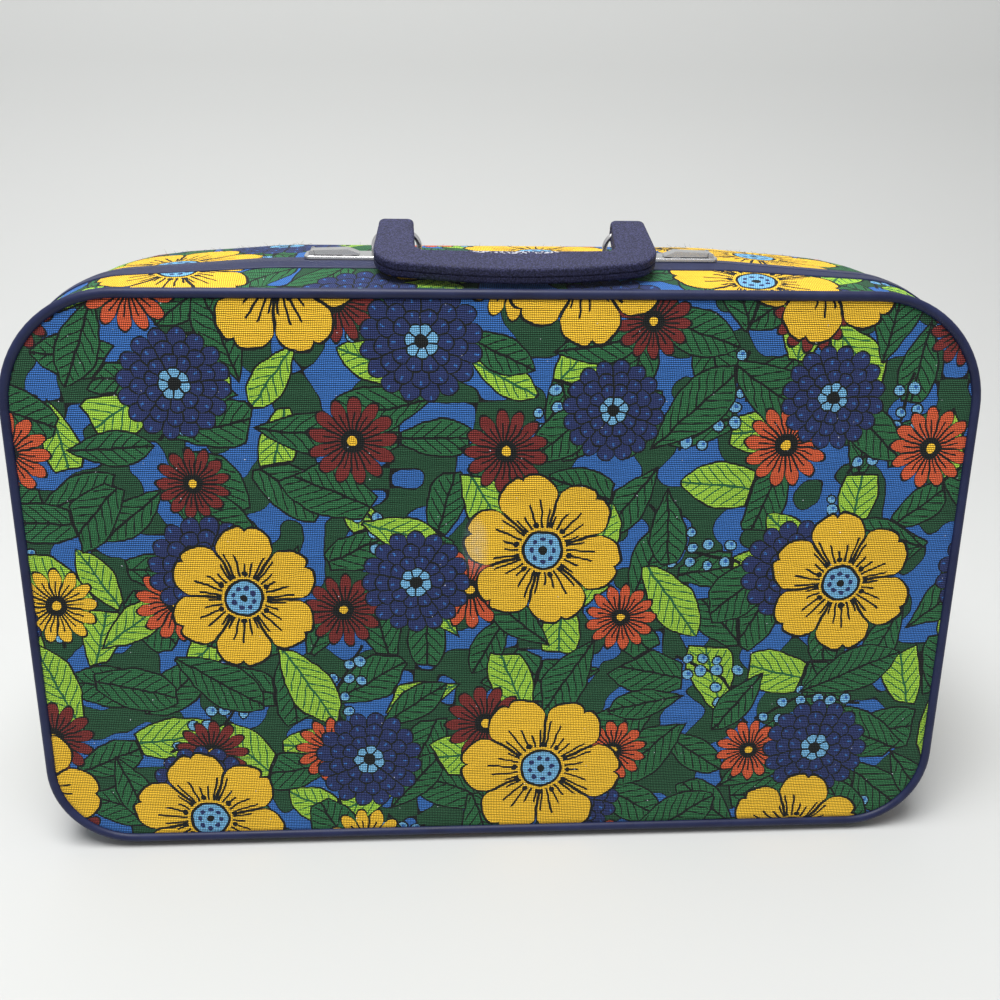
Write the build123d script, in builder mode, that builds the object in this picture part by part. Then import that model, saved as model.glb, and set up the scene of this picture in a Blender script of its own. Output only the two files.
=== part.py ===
"""Tapered overnight suitcase: two cloth-covered board halves hinged along the base."""

import math
import os

from build123d import *

# Overall form, seen from the front: +X right, +Y to the back, +Z up
panel_width = 433.8
panel_rise = 263.6
rim_flare = 5.5
rim_lift = 6.6
lid_top_depth = 32.0
body_top_depth = 72.0
panel_lean = 7.5
lid_panel_top_radius = 50.5
body_panel_top_radius = 66.0
panel_low_radius = 37.5
rim_top_radius = 58.0
rim_low_radius = 40.0
crown_shares = (0.5, 0.8)
crown_swells = (-0.3, -2.2)
shoulder_x = 104.0
shoulder_radius = 250.0
rim_shoulder_drop = 8.8
lid_shoulder_drop = 0.4
body_shoulder_drop = 8.2
crown_drop = 1.6
foot_height = 5.5

# Boards, cloth and trim
board = 2.4
cloth = 0.7
lining = 0.5
layer_gap = 0.25
binding = 1.6
binding_width = 7.5
binding_edge = 1.0
binding_round = 0.7
rim_gap = 0.4
seat_gap = 0.05
piping_radius = 2.2
panel_inset = 2.0
piping_out = 0.25
piping_back = 0.15
trim_gap = 0.3

# Inner rim strip that guides the lid
strip_depth = 20.0
strip_reach = 7.0
strip_thickness = 1.2
strip_lead = 1.6
strip_taper = 1.4

# Hinges on the underside
hinge_x = 120.0
hinge_length = 40.0
leaf_depth = 15.0
leaf_thickness = 0.9
barrel_radius = 2.4
hinge_pin_radius = 1.0
knuckle_length = 12.2
knuckle_gap = 0.4
hinge_gap = 0.4
pin_clearance = 0.05
leaf_rivet_radius = 2.2
leaf_rivet_height = 0.6
leaf_rivet_pitch = 13.0
leaf_rivet_back = 10.0

# Feet
foot_radius = 6.5
foot_round = 2.0
foot_x = 165.0
lid_foot_back = 46.0
body_foot_back = 84.0

# Latch plates and levers; all the top fittings sit a little right of the middle
fittings_x = 6.0
plate_near = 40.0
plate_far = 95.5
plate_front = 0.5
plate_back = 15.0
plate_thickness = 1.4
plate_round = 3.0
plate_edge = 0.5
plate_seat = 0.3
lever_x = 92.0
lever_pin_rise = 1.2
lever_pin_radius = 0.6
lever_knuckle = 1.0
lever_near = 21.4
lever_apex = 16.4
lever_apex_rise = 2.8
lever_lip_rise = 0.9
lever_float = 0.3
lever_front = 2.6
lever_back = 9.4
ear_thickness = 1.4
ear_gap = 0.3
ear_radius = 1.2
tooth_near = 18.0
tooth_far = 14.0
tooth_front = 2.9
tooth_back = 5.7
slot_gap = 0.3
tooth_swing = 3.0
catch_thickness = 1.2
catch_drop = 0.8
catch_reach = 8.5
catch_foot = 8.0
catch_margin = 3.0
catch_rivet_radius = 1.5
catch_rivet_height = 0.5
tooth_tip = 0.4
notch_gap = 1.5

# Handle and its wire loops
loop_x = 53.6
loop_back = 9.0
loop_half_width = 10.4
loop_bend = 6.4
wire_radius = 1.2
wire_gap = 0.1
axis_rise = 9.6
bore_clearance = 0.08
bore_straight = 4.0
bore_flare = 3.0
grip_thickness = 8.0
grip_tilt = 17.0
tab_width = 15.6
tab_end = 6.5
tab_round = 3.0
tab_flare_out = 2.2
tab_flare_in = 1.3
grip_side = 33.0
grip_bow = 8.5
grip_inner = 23.5
grip_inner_bow = 1.0
grip_corner = 14.0
grip_inner_corner = 5.0
grip_edge = 1.5
seam_gap = 0.9
seam_depth = 0.6
plate_rivet_radius = 1.8
plate_rivet_height = 0.7
plate_rivet_spread = 3.7

# Sizes that follow
lean = math.radians(panel_lean)
lean_setback = panel_rise * math.tan(lean)
lid_low_depth = lid_top_depth + lean_setback
body_low_depth = body_top_depth + lean_setback
split_y = (lid_low_depth - body_low_depth) / 2
base_z = foot_height
rim_half = panel_width / 2 + rim_flare
rim_rise = panel_rise + rim_lift
rim_top_z = base_z + rim_rise
cover_out = layer_gap + cloth
rim_start = rim_gap / 2 + binding_edge
hinge_z = base_z - binding
plate_z = rim_top_z + binding + plate_seat
plate_top_z = plate_z + plate_thickness
axis_y = split_y + loop_back
axis_z = plate_top_z + axis_rise
lever_pin_z = plate_top_z + lever_pin_rise
inner_top_z = rim_top_z - board
catch_top_z = inner_top_z - catch_drop
catch_low_z = catch_top_z - catch_thickness
wall_slope = rim_lift / lid_top_depth
lid_side = -1
body_side = 1
sides = {"left": -1, "right": 1}
panel_top_radius = {
    lid_side: lid_panel_top_radius,
    body_side: body_panel_top_radius,
}
panel_shoulder_drop = {lid_side: lid_shoulder_drop, body_side: body_shoulder_drop}


def rim_plane(side, depth):
    """Upright plane facing away from the opening, this far from it."""
    origin = (0, split_y + side * depth, base_z)
    return Plane(origin=origin, x_dir=(-side, 0, 0), z_dir=(0, side, 0))


def leaning_plane(side, share):
    """Plane at a share of a half's depth, leaning in as the panel does."""
    low_depth = lid_low_depth if side == lid_side else body_low_depth
    origin = (0, split_y + side * low_depth * share, base_z)
    facing = (0, side * math.cos(lean * share), math.sin(lean * share))
    return Plane(origin=origin, x_dir=(-side, 0, 0), z_dir=facing)


def panel_plane(side):
    """Outer face of a half's panel board."""
    return leaning_plane(side, 1)


def outline(plane, half_width, height, shoulder_drop, radii, grow):
    """Rounded upright oblong whose top is level in the middle and falls to its shoulders."""
    fall = shoulder_drop / (half_width - shoulder_x)
    wide = half_width + grow
    top = height + grow
    low = -grow
    side_top = top - fall * (wide - shoulder_x)
    top_radius, low_radius = radii
    with BuildSketch(plane) as face:
        with BuildLine():
            Polyline(
                (-wide, low),
                (wide, low),
                (wide, side_top),
                (shoulder_x, top),
                (-shoulder_x, top),
                (-wide, side_top),
                close=True,
            )
        make_face()
        fillet(face.vertices().sort_by(Axis.Y)[:2], low_radius + grow)
        fillet(face.vertices().sort_by(Axis.Y)[-4:-2], top_radius + grow)
        fillet(face.vertices().sort_by(Axis.Y)[-2:], shoulder_radius)
    return face.sketch


def between(first, second, share):
    """Value at a share of the way from the first to the second."""
    return first + (second - first) * share


def rim_outline(side, depth, grow):
    """Outline of the walls at the opening."""
    plane = rim_plane(side, depth)
    radii = (rim_top_radius, rim_low_radius)
    return outline(plane, rim_half, rim_rise, rim_shoulder_drop, radii, grow)


def panel_outline(side, back, grow):
    """Outline of the walls where they meet the panel, set back from its face."""
    height = panel_rise / math.cos(lean)
    plane = panel_plane(side).offset(-back)
    radii = (panel_top_radius[side], panel_low_radius)
    return outline(
        plane, panel_width / 2, height, panel_shoulder_drop[side], radii, grow
    )


def crown_outline(side, share, swell, grow):
    """Outline of the body's slightly swollen walls between rim and panel."""
    radii = (
        between(rim_top_radius, panel_top_radius[side], share),
        between(rim_low_radius, panel_low_radius, share),
    )
    drop = between(rim_shoulder_drop, panel_shoulder_drop[side], share) + crown_drop
    height = (rim_rise + swell) / math.cos(lean * share)
    plane = leaning_plane(side, share)
    return outline(plane, rim_half + swell, height, drop, radii, grow)


def half_block(side, grow):
    """Whole volume of one half, from the opening to the panel's face."""
    sections = [rim_outline(side, 0, grow)]
    if side == body_side:
        for share, swell in zip(crown_shares, crown_swells):
            sections.append(crown_outline(side, share, swell, grow))
    sections.append(panel_outline(side, 0, grow))
    with BuildPart() as block:
        loft(sections=sections, ruled=True)
    return block.part


def box_between(low, high):
    """Plain block between two corners, used to cut slots and pockets."""
    with BuildPart() as cutter:
        middle = tuple((a + b) / 2 for a, b in zip(low, high))
        with Locations(middle):
            Box(*(abs(b - a) for a, b in zip(low, high)))
    return cutter.part


def cylinder_between(start, end, radius):
    """Round bar between two points, used for pins and their bores."""
    with BuildPart() as bar:
        along = Vector(*end) - Vector(*start)
        with BuildSketch(Plane(origin=start, z_dir=along)):
            Circle(radius)
        extrude(amount=along.length)
    return bar.part


# Room that the hinges take out of the rims and the cloth
hinge_pockets = []
barrel_rooms = []
for sign in sides.values():
    half_length = hinge_length / 2 + hinge_gap
    hinge_pockets.append(
        box_between(
            (
                sign * hinge_x - half_length,
                split_y - leaf_depth - hinge_gap,
                base_z - barrel_radius - binding,
            ),
            (
                sign * hinge_x + half_length,
                split_y + leaf_depth + hinge_gap,
                base_z,
            ),
        )
    )
    barrel_rooms.append(
        cylinder_between(
            (sign * hinge_x - half_length, split_y, hinge_z),
            (sign * hinge_x + half_length, split_y, hinge_z),
            barrel_radius + hinge_gap,
        )
    )

# Room that the latch teeth take out of the plates and the body's rim
tooth_slots = {}
catch_notches = {}
for name, sign in sides.items():
    tooth_slots[name] = box_between(
        (
            fittings_x + sign * (lever_x - tooth_far + slot_gap),
            split_y + tooth_front - slot_gap,
            catch_low_z - board,
        ),
        (
            fittings_x + sign * (lever_x - tooth_near - tooth_swing),
            split_y + tooth_back + slot_gap,
            plate_top_z + lever_apex_rise,
        ),
    )
    catch_notches[name] = box_between(
        (
            fittings_x + sign * (lever_x - tooth_far + catch_margin + notch_gap),
            split_y - strip_depth,
            catch_low_z - strip_depth,
        ),
        (
            fittings_x + sign * (lever_x - tooth_near - catch_margin - notch_gap),
            split_y + catch_reach + notch_gap,
            plate_z,
        ),
    )

os.makedirs("parts", exist_ok=True)

# The two halves: boards, cloth, piping, rim binding and lining
for prefix, side in (("lid", lid_side), ("body", body_side)):
    inner_block = half_block(side, -board)
    outer_block = half_block(side, 0)
    cover_inner = half_block(side, layer_gap)
    cover_outer = half_block(side, cover_out)
    binding_outer = half_block(side, binding)
    lining_outer = half_block(side, -board - layer_gap)
    lining_inner = half_block(side, -board - layer_gap - lining)
    lining_back = board + layer_gap
    lining_start = catch_foot + trim_gap
    if side == body_side:
        lining_start = strip_depth + trim_gap

    with BuildPart() as lining_core:
        add(lining_inner)
        split(
            bisect_by=panel_plane(side).offset(-lining_back - lining),
            keep=Keep.BOTTOM,
        )

    with BuildPart() as cover_room:
        add(cover_inner)
        split(bisect_by=rim_plane(side, rim_start), keep=Keep.TOP)

    with BuildPart() as wall_board:
        add(outer_block)
        add(inner_block, mode=Mode.SUBTRACT)
        split(bisect_by=rim_plane(side, rim_start + seat_gap), keep=Keep.TOP)
        split(bisect_by=panel_plane(side).offset(-board), keep=Keep.BOTTOM)
        for room in barrel_rooms:
            add(room, mode=Mode.SUBTRACT)
        if side == body_side:
            for slot in tooth_slots.values():
                add(slot, mode=Mode.SUBTRACT)
    wall_board.part.label = prefix + "_wall_board"
    export_step(wall_board.part, "parts/" + prefix + "_wall_board.step")

    with BuildPart() as panel_board:
        extrude(panel_outline(side, 0, -panel_inset), amount=-board)
    panel_board.part.label = prefix + "_panel_board"
    export_step(panel_board.part, "parts/" + prefix + "_panel_board.step")

    with BuildPart() as panel_cloth:
        extrude(panel_outline(side, 0, -panel_inset - trim_gap), amount=cloth)
    panel_cloth.part.label = prefix + "_panel_cloth"
    export_step(panel_cloth.part, "parts/" + prefix + "_panel_cloth.step")

    with BuildPart() as wall_cloth:
        add(cover_outer)
        add(cover_inner, mode=Mode.SUBTRACT)
        split(bisect_by=rim_plane(side, binding_width + trim_gap), keep=Keep.TOP)
        split(
            bisect_by=panel_plane(side).offset(-board - trim_gap),
            keep=Keep.BOTTOM,
        )
        for pocket in hinge_pockets:
            add(pocket, mode=Mode.SUBTRACT)
    wall_cloth.part.label = prefix + "_wall_cloth"
    export_step(wall_cloth.part, "parts/" + prefix + "_wall_cloth.step")

    with BuildPart() as rim_binding:
        add(binding_outer)
        split(bisect_by=rim_plane(side, rim_gap / 2), keep=Keep.TOP)
        split(bisect_by=rim_plane(side, binding_width), keep=Keep.BOTTOM)
        end_faces = rim_binding.faces().sort_by(Axis.Y)
        fillet(end_faces[0].edges() + end_faces[-1].edges(), binding_round)
        add(inner_block, mode=Mode.SUBTRACT)
        add(cover_room.part, mode=Mode.SUBTRACT)
        for pocket, room in zip(hinge_pockets, barrel_rooms):
            add(pocket, mode=Mode.SUBTRACT)
            add(room, mode=Mode.SUBTRACT)
        if side == body_side:
            for slot in tooth_slots.values():
                add(slot, mode=Mode.SUBTRACT)
    rim_binding.part.label = prefix + "_rim_binding"
    export_step(rim_binding.part, "parts/" + prefix + "_rim_binding.step")

    piping_path = panel_outline(side, piping_back, piping_out).faces()[0].outer_wire()
    with BuildPart() as piping:
        with BuildSketch(Plane(origin=piping_path @ 0, z_dir=piping_path % 0)):
            Circle(piping_radius)
        sweep(path=piping_path)
    piping.part.label = prefix + "_piping"
    export_step(piping.part, "parts/" + prefix + "_piping.step")

    with BuildPart() as lining_tray:
        add(lining_outer)
        split(bisect_by=panel_plane(side).offset(-lining_back), keep=Keep.BOTTOM)
        add(lining_core.part, mode=Mode.SUBTRACT)
        split(bisect_by=rim_plane(side, lining_start), keep=Keep.TOP)
    lining_tray.part.label = prefix + "_lining"
    export_step(lining_tray.part, "parts/" + prefix + "_lining.step")

    foot_back = lid_foot_back if side == lid_side else body_foot_back
    with BuildPart() as feet:
        for sign in sides.values():
            with BuildSketch(Plane.XY):
                with Locations((sign * foot_x, split_y + side * foot_back)):
                    Circle(foot_radius)
        extrude(amount=base_z - cover_out - seat_gap)
        fillet(feet.edges().group_by(Axis.Z)[0], foot_round)
    feet.part.label = prefix + "_feet"
    export_step(feet.part, "parts/" + prefix + "_feet.step")

# Inner rim strip of the body
strip_grow = -board - layer_gap
strip_outer = [
    rim_outline(body_side, strip_depth, strip_grow - strip_taper),
    rim_outline(body_side, 0, strip_grow),
    rim_outline(body_side, -strip_reach, strip_grow - strip_lead),
]
strip_grow -= strip_thickness
strip_inner = [
    rim_outline(body_side, strip_depth, strip_grow - strip_taper),
    rim_outline(body_side, 0, strip_grow),
    rim_outline(body_side, -strip_reach, strip_grow - strip_lead),
]
with BuildPart() as rim_strip:
    loft(sections=strip_outer, ruled=True)
    loft(sections=strip_inner, ruled=True, mode=Mode.SUBTRACT)
    for notch in catch_notches.values():
        add(notch, mode=Mode.SUBTRACT)
rim_strip.part.label = "body_rim_strip"
export_step(rim_strip.part, "parts/body_rim_strip.step")

# Hinges: leaves with their knuckles, pins and rivets
middle_half = hinge_length / 2 - knuckle_length - knuckle_gap
knuckle_spans = {
    "body": (
        (-hinge_length / 2, knuckle_length - hinge_length / 2),
        (hinge_length / 2 - knuckle_length, hinge_length / 2),
    ),
    "lid": ((-middle_half, middle_half),),
}
leaf_clear = barrel_radius + hinge_gap
for name, sign in sides.items():
    centre_x = sign * hinge_x
    for prefix, side in (("lid", lid_side), ("body", body_side)):
        with BuildPart() as leaf:
            add(
                box_between(
                    (
                        centre_x - hinge_length / 2,
                        split_y + side * leaf_clear,
                        base_z - leaf_thickness,
                    ),
                    (centre_x + hinge_length / 2, split_y + side * leaf_depth, base_z),
                )
            )
            for start, end in knuckle_spans[prefix]:
                add(
                    box_between(
                        (centre_x + start, split_y, base_z - leaf_thickness),
                        (centre_x + end, split_y + side * leaf_clear, base_z),
                    )
                )
                add(
                    cylinder_between(
                        (centre_x + start, split_y, hinge_z),
                        (centre_x + end, split_y, hinge_z),
                        barrel_radius,
                    )
                )
            add(
                cylinder_between(
                    (centre_x - hinge_length, split_y, hinge_z),
                    (centre_x + hinge_length, split_y, hinge_z),
                    hinge_pin_radius + pin_clearance,
                ),
                mode=Mode.SUBTRACT,
            )
        leaf.part.label = prefix + "_hinge_leaf_" + name
        export_step(leaf.part, "parts/" + prefix + "_hinge_leaf_" + name + ".step")

    with BuildPart() as hinge_pin:
        add(
            cylinder_between(
                (centre_x - hinge_length / 2, split_y, hinge_z),
                (centre_x + hinge_length / 2, split_y, hinge_z),
                hinge_pin_radius,
            )
        )
    hinge_pin.part.label = "hinge_pin_" + name
    export_step(hinge_pin.part, "parts/hinge_pin_" + name + ".step")

for prefix, side in (("lid", lid_side), ("body", body_side)):
    with BuildPart() as leaf_rivets:
        with BuildSketch(Plane.XY.offset(base_z - leaf_thickness)):
            for sign in sides.values():
                row_middle = (sign * hinge_x, split_y + side * leaf_rivet_back)
                with Locations(row_middle):
                    with GridLocations(leaf_rivet_pitch, 0, 3, 1):
                        Circle(leaf_rivet_radius)
        extrude(amount=-leaf_rivet_height)
        chamfer(leaf_rivets.edges().group_by(Axis.Z)[0], leaf_rivet_height / 2)
    leaf_rivets.part.label = prefix + "_hinge_rivets"
    export_step(leaf_rivets.part, "parts/" + prefix + "_hinge_rivets.step")

# Latches: plates, levers with their teeth and pins, and the lid's catches
for name, sign in sides.items():
    pin_x = fittings_x + sign * lever_x
    plate_middle = fittings_x + sign * (plate_near + plate_far) / 2
    loop_centre = fittings_x + sign * loop_x

    with BuildPart() as plate:
        with BuildSketch(Plane.XY.offset(plate_z)) as plate_shape:
            with Locations((plate_middle, split_y + (plate_front + plate_back) / 2)):
                Rectangle(plate_far - plate_near, plate_back - plate_front)
            fillet(plate_shape.vertices(), plate_round)
        extrude(amount=plate_thickness)
        fillet(plate.edges().group_by(Axis.Z)[-1], plate_edge)
        for front in (
            lever_front - ear_gap - ear_thickness,
            lever_back + ear_gap,
        ):
            add(
                box_between(
                    (pin_x - ear_radius, split_y + front, plate_z),
                    (
                        pin_x + ear_radius,
                        split_y + front + ear_thickness,
                        lever_pin_z,
                    ),
                )
            )
            add(
                cylinder_between(
                    (pin_x, split_y + front, lever_pin_z),
                    (pin_x, split_y + front + ear_thickness, lever_pin_z),
                    ear_radius,
                )
            )
        add(
            cylinder_between(
                (pin_x, split_y - plate_back, lever_pin_z),
                (pin_x, split_y + 2 * plate_back, lever_pin_z),
                lever_pin_radius + pin_clearance,
            ),
            mode=Mode.SUBTRACT,
        )
        with BuildSketch(Plane.XY.offset(plate_z)):
            with Locations((loop_centre, axis_y)):
                with GridLocations(2 * loop_half_width, 0, 2, 1):
                    Circle(wire_radius + wire_gap)
        extrude(amount=plate_thickness, mode=Mode.SUBTRACT)
        add(tooth_slots[name], mode=Mode.SUBTRACT)
    plate.part.label = "latch_plate_" + name
    export_step(plate.part, "parts/latch_plate_" + name + ".step")

    with BuildPart() as lever:
        profile_plane = Plane(
            origin=(pin_x, split_y + lever_front, plate_top_z),
            x_dir=(-sign, 0, 0),
            z_dir=(0, sign, 0),
        )
        with BuildSketch(profile_plane):
            with BuildLine():
                Polyline(
                    (0, lever_float),
                    (lever_near, lever_float),
                    (lever_near, lever_lip_rise),
                    (lever_apex, lever_apex_rise),
                    (0, lever_pin_rise + lever_knuckle),
                    (0, lever_float),
                )
            make_face()
            with Locations((0, lever_pin_rise)):
                Circle(lever_knuckle - pin_clearance)
        extrude(amount=sign * (lever_back - lever_front))
        add(
            box_between(
                (
                    fittings_x + sign * (lever_x - tooth_far),
                    split_y + tooth_front,
                    catch_low_z - tooth_tip,
                ),
                (
                    fittings_x + sign * (lever_x - tooth_near),
                    split_y + tooth_back,
                    plate_top_z + lever_pin_rise,
                ),
            )
        )
        add(
            cylinder_between(
                (pin_x, split_y - plate_back, lever_pin_z),
                (pin_x, split_y + 2 * plate_back, lever_pin_z),
                lever_pin_radius + pin_clearance,
            ),
            mode=Mode.SUBTRACT,
        )
    lever.part.label = "latch_lever_" + name
    export_step(lever.part, "parts/latch_lever_" + name + ".step")

    with BuildPart() as lever_pin:
        add(
            cylinder_between(
                (pin_x, split_y + lever_front - ear_gap - ear_thickness, lever_pin_z),
                (pin_x, split_y + lever_back + ear_gap + ear_thickness, lever_pin_z),
                lever_pin_radius,
            )
        )
    lever_pin.part.label = "latch_pin_" + name
    export_step(lever_pin.part, "parts/latch_pin_" + name + ".step")

    foot_top_z = inner_top_z - seat_gap - wall_slope * catch_foot
    bend_top_z = inner_top_z - seat_gap - wall_slope * rim_start
    bend_top_z = min(bend_top_z, catch_top_z)
    with BuildPart() as catch:
        far_x = fittings_x + sign * (lever_x - tooth_far + catch_margin)
        near_x = fittings_x + sign * (lever_x - tooth_near - catch_margin)
        catch_plane = Plane(
            origin=(min(far_x, near_x), split_y, 0), x_dir=(0, 1, 0), z_dir=(1, 0, 0)
        )
        with BuildSketch(catch_plane):
            with BuildLine():
                Polyline(
                    (-catch_foot, foot_top_z),
                    (-rim_start, bend_top_z),
                    (0, catch_top_z),
                    (catch_reach, catch_top_z),
                    (catch_reach, catch_low_z),
                    (0, catch_low_z),
                    (-rim_start, bend_top_z - catch_thickness),
                    (-catch_foot, foot_top_z - catch_thickness),
                    close=True,
                )
            make_face()
        extrude(amount=abs(far_x - near_x))
        add(tooth_slots[name], mode=Mode.SUBTRACT)
    catch.part.label = "lid_catch_" + name
    export_step(catch.part, "parts/lid_catch_" + name + ".step")

    foot_run = catch_foot - rim_start
    foot_drop = bend_top_z - foot_top_z
    foot_low_z = (foot_top_z + bend_top_z) / 2 - catch_thickness
    rivet_plane = Plane(
        origin=(
            (far_x + near_x) / 2,
            split_y - (catch_foot + rim_start) / 2,
            foot_low_z,
        ),
        x_dir=(1, 0, 0),
        z_dir=(0, foot_drop, -foot_run),
    )
    with BuildPart() as catch_rivets:
        with BuildSketch(rivet_plane):
            with GridLocations(2 * catch_margin, 0, 2, 1):
                Circle(catch_rivet_radius)
        extrude(amount=catch_rivet_height)
    catch_rivets.part.label = "lid_catch_rivets_" + name
    export_step(catch_rivets.part, "parts/lid_catch_rivets_" + name + ".step")

    with BuildPart() as loop:
        with BuildLine() as wire_path:
            FilletPolyline(
                (loop_centre - loop_half_width, axis_y, plate_z),
                (loop_centre - loop_half_width, axis_y, axis_z),
                (loop_centre + loop_half_width, axis_y, axis_z),
                (loop_centre + loop_half_width, axis_y, plate_z),
                radius=loop_bend,
            )
        with BuildSketch(Plane(origin=wire_path.line @ 0, z_dir=wire_path.line % 0)):
            Circle(wire_radius)
        sweep(path=wire_path.line)
    loop.part.label = "handle_loop_" + name
    export_step(loop.part, "parts/handle_loop_" + name + ".step")

with BuildPart() as plate_rivets:
    with BuildSketch(Plane.XY.offset(plate_top_z)):
        with Locations((fittings_x, axis_y)):
            with GridLocations(2 * loop_x, 2 * plate_rivet_spread, 2, 2):
                Circle(plate_rivet_radius)
    extrude(amount=plate_rivet_height)
    fillet(plate_rivets.edges().group_by(Axis.Z)[-1], plate_rivet_height / 2)
plate_rivets.part.label = "plate_rivets"
export_step(plate_rivets.part, "parts/plate_rivets.step")

# Handle: a flat moulded bow in two skins with a seam between them
grip_lean = math.radians(grip_tilt)
grip_plane = Plane(
    origin=(fittings_x, axis_y, axis_z),
    x_dir=(1, 0, 0),
    z_dir=(0, -math.sin(grip_lean), math.cos(grip_lean)),
)
tab_near = loop_x - tab_width / 2
tab_far = loop_x + tab_width / 2
grip_half = tab_far + tab_flare_out
inner_half = tab_near - tab_flare_in


def grip_outline(plane, inset):
    """Outline of the handle's bow, drawn in from its edge."""
    with BuildSketch(plane) as bow:
        with BuildLine():
            Line((tab_near, tab_end), (tab_far, tab_end))
            Line((tab_far, tab_end), (grip_half, -grip_side))
            ThreePointArc(
                (grip_half, -grip_side),
                (0, -grip_side - grip_bow),
                (-grip_half, -grip_side),
            )
            Line((-grip_half, -grip_side), (-tab_far, tab_end))
            Line((-tab_far, tab_end), (-tab_near, tab_end))
            Line((-tab_near, tab_end), (-inner_half, -grip_inner))
            ThreePointArc(
                (-inner_half, -grip_inner),
                (0, -grip_inner - grip_inner_bow),
                (inner_half, -grip_inner),
            )
            Line((inner_half, -grip_inner), (tab_near, tab_end))
        make_face()
        fillet(bow.vertices().group_by(Axis.Y)[0], grip_corner)
        fillet(bow.vertices().group_by(Axis.Y)[-1], tab_round)
        corners = bow.vertices().filter_by_position(Axis.X, -tab_near, tab_near)
        fillet(corners.group_by(Axis.Y)[0], grip_inner_corner)
        if inset:
            offset(amount=-inset, mode=Mode.REPLACE)
    return bow.sketch


bore_radius = wire_radius + bore_clearance
bore_half = tab_width / 2 + tab_flare_out
with BuildPart() as upper_skin:
    bow_face = grip_outline(grip_plane.offset(seam_gap / 2), 0)
    extrude(bow_face, amount=(grip_thickness - seam_gap) / 2)
    skin_faces = upper_skin.faces().sort_by(Axis(grip_plane.origin, grip_plane.z_dir))
    fillet(skin_faces[-1].edges(), grip_edge)
with BuildPart() as lower_skin:
    bow_face = grip_outline(grip_plane.offset(-seam_gap / 2), 0)
    extrude(bow_face, amount=-(grip_thickness - seam_gap) / 2)
    skin_faces = lower_skin.faces().sort_by(Axis(grip_plane.origin, grip_plane.z_dir))
    fillet(skin_faces[0].edges(), grip_edge)
with BuildPart() as handle:
    bow_face = grip_outline(grip_plane.offset(-seam_gap / 2), seam_depth)
    extrude(bow_face, amount=seam_gap)
    add(upper_skin.part)
    add(lower_skin.part)
    for sign in sides.values():
        bore_centre = (fittings_x + sign * loop_x, axis_y, axis_z)
        with BuildSketch(
            Plane(origin=bore_centre, x_dir=(1, 0, 0), z_dir=(0, -1, 0))
        ):
            with BuildLine():
                Polyline(
                    (-bore_half, 0),
                    (bore_half, 0),
                    (bore_half, bore_radius + bore_flare),
                    (bore_straight, bore_radius),
                    (-bore_straight, bore_radius),
                    (-bore_half, bore_radius + bore_flare),
                    close=True,
                )
            make_face()
        revolve(axis=Axis(bore_centre, (1, 0, 0)), mode=Mode.SUBTRACT)
handle.part.label = "handle"
export_step(handle.part, "parts/handle.step")
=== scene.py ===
"""Looks of the tapered overnight suitcase: printed cloth, trim, fittings, light and camera."""

import math
import random

import bpy
from mathutils import Matrix, Vector


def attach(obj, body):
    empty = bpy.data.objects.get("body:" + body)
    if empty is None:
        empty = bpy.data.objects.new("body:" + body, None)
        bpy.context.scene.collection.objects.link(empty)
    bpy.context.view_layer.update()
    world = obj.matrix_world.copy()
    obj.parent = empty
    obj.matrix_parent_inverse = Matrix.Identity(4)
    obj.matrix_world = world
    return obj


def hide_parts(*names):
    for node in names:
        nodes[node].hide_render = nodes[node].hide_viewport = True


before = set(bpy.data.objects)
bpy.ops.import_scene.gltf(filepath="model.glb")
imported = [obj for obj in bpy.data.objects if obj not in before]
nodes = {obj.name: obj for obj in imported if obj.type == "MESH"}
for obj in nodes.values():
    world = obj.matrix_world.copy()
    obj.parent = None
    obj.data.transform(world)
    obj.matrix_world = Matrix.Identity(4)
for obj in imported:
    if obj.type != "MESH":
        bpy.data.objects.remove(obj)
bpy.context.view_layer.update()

MM = 0.001

# The case's own sizes, as in the part's source, in millimetres
PANEL_WIDTH = 433.8
PANEL_RISE = 263.6
RIM_FLARE = 5.5
RIM_LIFT = 6.6
LID_TOP_DEPTH = 32.0
BODY_TOP_DEPTH = 72.0
PANEL_LEAN = math.radians(7.5)
PANEL_RADII = {"lid": (50.5, 37.5), "body": (66.0, 37.5)}  # upper, lower
RIM_RADII = (58.0, 40.0)
CROWN = ((0.5, -0.3), (0.8, -2.2))  # share of the depth, swell
SHOULDER_X = 104.0
SHOULDER_RADIUS = 250.0
RIM_DROP = 8.8
PANEL_DROP = {"lid": 0.4, "body": 8.2}
CROWN_DROP = 1.6
BASE_Z = 5.5
CLOTH_OUT = 0.95
PANEL_CLOTH = 0.7
BINDING_WIDTH = 7.5
SETBACK = PANEL_RISE * math.tan(PANEL_LEAN)
LOW_DEPTH = {"lid": LID_TOP_DEPTH + SETBACK, "body": BODY_TOP_DEPTH + SETBACK}
SIDE = {"lid": -1, "body": 1}
SPLIT_Y = (LOW_DEPTH["lid"] - LOW_DEPTH["body"]) / 2
PANEL_HEIGHT = PANEL_RISE / math.cos(PANEL_LEAN)

# How the printed cloth lies, in millimetres
EDGE_IN = 1.9  # from the panel's outline, beside the piping
ROLL = 2.4  # over this width the edge rolls down
EDGE_SHARE = 0.2  # of the cloth's height, left at its edge
CLOTH_WAVE = 0.2
CLOTH_LEAST = 0.1  # always over the board
PANEL_INSETS = (0.0, 0.5, 1.1, 1.8, ROLL, 4.0, 7.0)
FLAT_INSET = 20.0  # well past the roll
PANEL_RINGS = 15  # from the last inset to the middle
PANEL_STEPS = 10
WALL_STEPS = 16
WALL_ROWS = 12
WALL_NEAR = BINDING_WIDTH + 0.1  # from the rim
WALL_FAR = 2.35  # from the panel, clear of the piping

# Where each cloth is cut from the print, in millimetres along it
CUT_FROM = {"lid": 400.0, "body": 3400.0}
WALL_CUT = 700.0


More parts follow.
